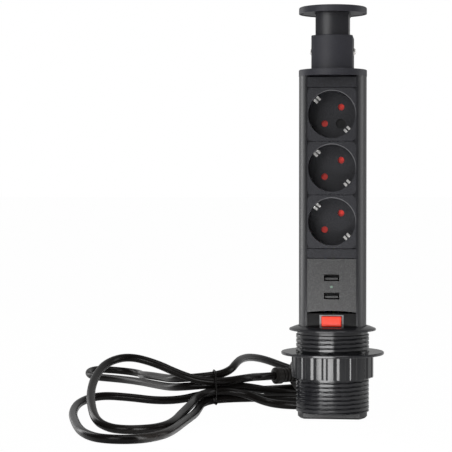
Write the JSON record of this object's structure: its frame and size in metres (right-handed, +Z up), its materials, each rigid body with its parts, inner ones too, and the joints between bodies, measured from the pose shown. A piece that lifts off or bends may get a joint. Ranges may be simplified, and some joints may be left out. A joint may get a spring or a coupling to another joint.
{
  "type": "pop-up socket tower",
  "caption": "Pop-up worktop socket tower with earthed sockets, two USB outlets, a release button, a clamping collar and a bundled mains cord.",
  "frame": {"origin": "middle of the foot's underside, with the tower pulled up", "axes": "+Z up the tower, -Y towards the side with the sockets, +X to the right of that side"},
  "size_m": [0.3012, 0.4544, 0.3353],
  "materials": {
    "tube": "anodised satin charcoal",
    "collar_plastic": "smooth dark grey",
    "cap_plastic": "satin charcoal",
    "foot_plastic": "grainy charcoal",
    "panel_plastic": "fine grain",
    "usb_plastic": "coarser grain",
    "shutter_plastic": "moulded",
    "button_plastic": "moulded",
    "frame_plastic": "satin",
    "carrier_plastic": "moulded",
    "contact_metal": "nickel-plated",
    "spring_steel": "drawn wire",
    "screw_steel": "bright",
    "lens_plastic": "clear grey",
    "board": "lacquered",
    "cord_jacket": "smooth",
    "brake_rubber": "matt",
    "live_jacket": "smooth",
    "neutral_jacket": "smooth",
    "earth_jacket": "smooth"
  },
  "bodies": {
    "collar": {"mounting_collar": "collar_plastic", "brake_ring": "brake_rubber"},
    "tower": {"tower_tube": "tube", "top_cap": "cap_plastic", "top_cap_screws": "screw_steel", "end_cap": "foot_plastic", "end_cap_screws": "screw_steel", "cord_clamp": "cap_plastic", "clamp_screws": "screw_steel", "neck_sleeve": "cap_plastic", "sleeve_screws": "screw_steel", "push_spring": "spring_steel", "blank_plate_top": "panel_plastic", "blank_strip": "panel_plastic", "lower_plate": "panel_plastic", "usb_plate": "usb_plastic", "usb_port_1": "spring_steel", "usb_port_2": "spring_steel", "usb_tongue_1": "carrier_plastic", "usb_tongue_2": "carrier_plastic", "usb_board": "board", "usb_converter": "carrier_plastic", "led_lens": "lens_plastic", "latch_block": "cap_plastic", "button_frame": "frame_plastic", "strain_relief": "cord_jacket", "cord_to_tower": "cord_jacket", "cord_hank": "cord_jacket", "cord_tie": "cord_jacket", "cord_to_plug": "cord_jacket", "plug_boot": "cord_jacket", "plug_body": "cord_jacket", "plug_pins": "screw_steel", "plug_earth_strips": "contact_metal", "live_rail": "contact_metal", "neutral_rail": "contact_metal", "earth_rail": "contact_metal", "live_wire": "live_jacket", "neutral_wire": "neutral_jacket", "earth_wire": "earth_jacket", "socket_body_1": "panel_plastic", "contact_carrier_1": "carrier_plastic", "earth_bracket_1": "contact_metal", "socket_body_2": "panel_plastic", "contact_carrier_2": "carrier_plastic", "earth_bracket_2": "contact_metal", "socket_body_3": "panel_plastic", "contact_carrier_3": "carrier_plastic", "earth_bracket_3": "contact_metal"},
    "washer": {"clamp_washer": "collar_plastic"},
    "nut": {"ring_nut": "collar_plastic"},
    "head": {"neck_block": "cap_plastic", "lid": "collar_plastic"},
    "button": {"release_button": "button_plastic", "button_spring": "spring_steel"},
    "shutter_a": {"shutter_1": "shutter_plastic"},
    "shutter_b": {"shutter_2": "shutter_plastic"},
    "shutter_c": {"shutter_3": "shutter_plastic"}
  },
  "joints": [
    {"name": "tower_slide", "type": "slide", "parent": "collar", "child": "tower", "axis": [0, 0, 1], "range_m": [-0.2425, 0]},
    {"name": "lid_push", "type": "slide", "parent": "tower", "child": "head", "axis": [0, 0, 1], "range_m": [-0.0164, 0], "stiffness_N_per_m": 300, "springref_m": 0.015, "deforming": ["push_spring"]},
    {"name": "release_button", "type": "slide", "parent": "tower", "child": "button", "axis": [0, 1, 0], "range_m": [0, 0.003], "stiffness_N_per_m": 800, "springref_m": -0.002},
    {"name": "washer_slide", "type": "slide", "parent": "collar", "child": "washer", "axis": [0, 0, 1], "range_m": [-0.02, 0.0125]},
    {"name": "nut_turn", "type": "hinge", "parent": "washer", "child": "nut", "pos_m": [0, 0, 0.0425], "axis": [0, 0, 1], "range_deg": [-2058, 1286]},
    {"name": "shutter_turn_a", "type": "hinge", "parent": "tower", "child": "shutter_a", "pos_m": [0, 0.00325, 0.2474], "axis": [0, 1, 0], "range_deg": [0, 38], "stiffness_Nm_per_rad": 0.002, "springref_deg": -17.19},
    {"name": "shutter_turn_b", "type": "hinge", "parent": "tower", "child": "shutter_b", "pos_m": [0, 0.00325, 0.20395], "axis": [0, 1, 0], "range_deg": [0, 38], "stiffness_Nm_per_rad": 0.002, "springref_deg": -17.19},
    {"name": "shutter_turn_c", "type": "hinge", "parent": "tower", "child": "shutter_c", "pos_m": [0, 0.00325, 0.1605], "axis": [0, 1, 0], "range_deg": [0, 38], "stiffness_Nm_per_rad": 0.002, "springref_deg": -17.19}
  ],
  "couplings": [
    {"joint": "nut_turn", "follows": "washer_slide", "rad_per_m": 1795.2}
  ]
}
